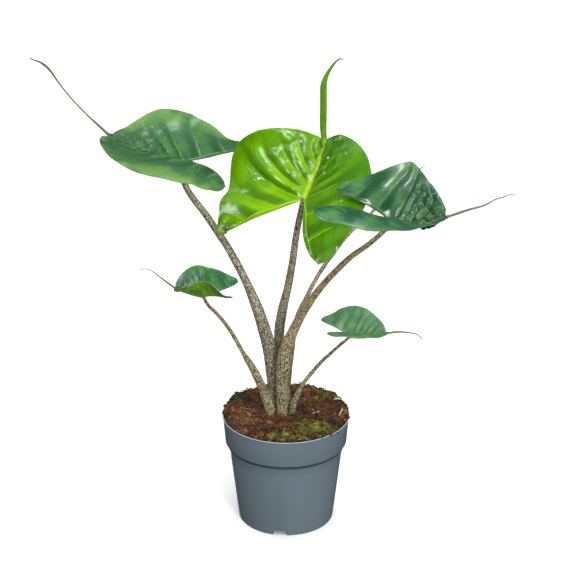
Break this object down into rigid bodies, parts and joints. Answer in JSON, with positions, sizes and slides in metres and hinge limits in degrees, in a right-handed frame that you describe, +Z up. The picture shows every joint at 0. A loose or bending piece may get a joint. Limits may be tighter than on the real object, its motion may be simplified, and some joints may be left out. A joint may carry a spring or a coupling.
{
  "type": "potted alocasia",
  "caption": "Elephant-ear houseplant with mottled petioles and tailed, folded leaves growing from potting mix in a plain grey nursery pot.",
  "frame": {"origin": "centre of the pot's underside, on the plane it stands on", "axes": "+Z up along the pot's axis, -Y the front, +X to the right seen from the front"},
  "size_m": [0.5943, 0.3479, 0.6285],
  "materials": {
    "pot_plastic": "moulded grey plastic, faint sheen",
    "potting_mix": "loose fibrous peat and coir, matte",
    "corm_skin": "rough brown skin, matte",
    "petiole_skin": "satin skin with dark mottling",
    "blade_dark": "glossy leaf, dark green",
    "blade_young": "glossy young leaf, yellow green",
    "moss": "soft matte moss",
    "pale_wood": "bare split wood"
  },
  "bodies": {
    "root": {"nursery_pot": "pot_plastic", "potting_mix": "potting_mix", "corm": "corm_skin", "petiole_upper_left": "petiole_skin", "blade_upper_left": "blade_dark", "petiole_centre": "petiole_skin", "blade_centre": "blade_young", "petiole_upper_right": "petiole_skin", "blade_upper_right": "blade_dark", "petiole_lower_left": "petiole_skin", "blade_lower_left": "blade_dark", "petiole_lower_right": "petiole_skin", "blade_lower_right": "blade_dark", "petiole_rear": "petiole_skin", "blade_rear": "blade_dark", "moss_front_right": "moss", "moss_front_edge": "moss", "moss_back_right": "moss", "moss_left": "moss", "wood_sliver_middle": "pale_wood", "wood_sliver_back": "pale_wood", "wood_sliver_right": "pale_wood"}
  },
  "joints": []
}
